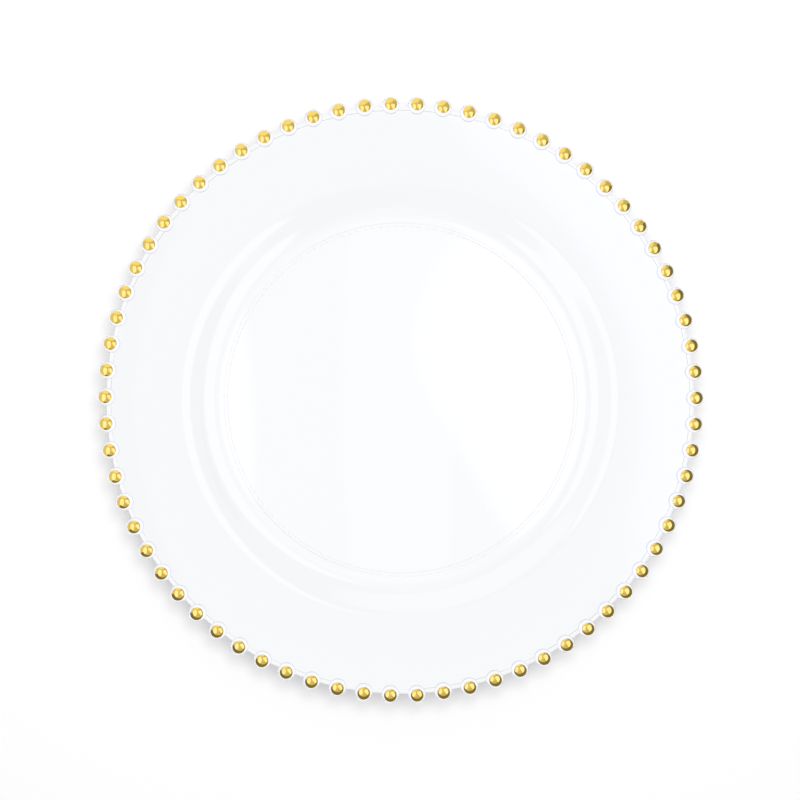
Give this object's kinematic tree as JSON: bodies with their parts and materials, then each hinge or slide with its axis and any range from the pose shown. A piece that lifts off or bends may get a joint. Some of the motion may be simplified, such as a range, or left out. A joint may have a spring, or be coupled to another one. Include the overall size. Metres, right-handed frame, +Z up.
{
  "type": "charger plate",
  "caption": "Round clear charger plate with a flat well, a gently rising rim and an edge of clear beads capped with gold domes.",
  "frame": {"origin": "centre of the foot rib, on the surface that the plate stands on", "axes": "+Z up along the plate's axis; +X through the middle of the first bead"},
  "size_m": [0.33, 0.3296, 0.0259],
  "materials": {
    "clear_plastic": "clear moulded plastic, polished by the mould, faintly cool",
    "gold_plating": "bright gold plating on a smooth dome"
  },
  "bodies": {
    "root": {"gold_cap_01": "gold_plating", "gold_cap_02": "gold_plating", "gold_cap_03": "gold_plating", "gold_cap_04": "gold_plating", "gold_cap_05": "gold_plating", "gold_cap_08": "gold_plating", "gold_cap_09": "gold_plating", "gold_cap_10": "gold_plating", "gold_cap_11": "gold_plating", "gold_cap_14": "gold_plating", "gold_cap_15": "gold_plating", "gold_cap_16": "gold_plating", "gold_cap_17": "gold_plating", "gold_cap_18": "gold_plating", "gold_cap_21": "gold_plating", "gold_cap_22": "gold_plating", "gold_cap_23": "gold_plating", "gold_cap_24": "gold_plating", "gold_cap_27": "gold_plating", "gold_cap_28": "gold_plating", "gold_cap_29": "gold_plating", "gold_cap_30": "gold_plating", "gold_cap_33": "gold_plating", "gold_cap_34": "gold_plating", "gold_cap_35": "gold_plating", "gold_cap_36": "gold_plating", "gold_cap_37": "gold_plating", "gold_cap_40": "gold_plating", "gold_cap_41": "gold_plating", "gold_cap_42": "gold_plating", "gold_cap_43": "gold_plating", "gold_cap_46": "gold_plating", "gold_cap_47": "gold_plating", "gold_cap_48": "gold_plating", "gold_cap_49": "gold_plating", "gold_cap_52": "gold_plating", "gold_cap_53": "gold_plating", "gold_cap_54": "gold_plating", "gold_cap_55": "gold_plating", "gold_cap_56": "gold_plating", "gold_cap_59": "gold_plating", "gold_cap_60": "gold_plating", "gold_cap_61": "gold_plating", "gold_cap_62": "gold_plating", "gold_cap_65": "gold_plating", "gold_cap_66": "gold_plating", "gold_cap_67": "gold_plating", "gold_cap_68": "gold_plating", "gold_caps_06_07": "gold_plating", "gold_caps_12_13": "gold_plating", "gold_caps_19_20": "gold_plating", "gold_caps_25_26": "gold_plating", "gold_caps_31_32": "gold_plating", "gold_caps_38_39": "gold_plating", "gold_caps_44_45": "gold_plating", "gold_caps_50_51": "gold_plating", "gold_caps_57_58": "gold_plating", "gold_caps_63_64": "gold_plating", "gold_caps_69_70": "gold_plating", "plate_body": "clear_plastic"}
  },
  "joints": []
}
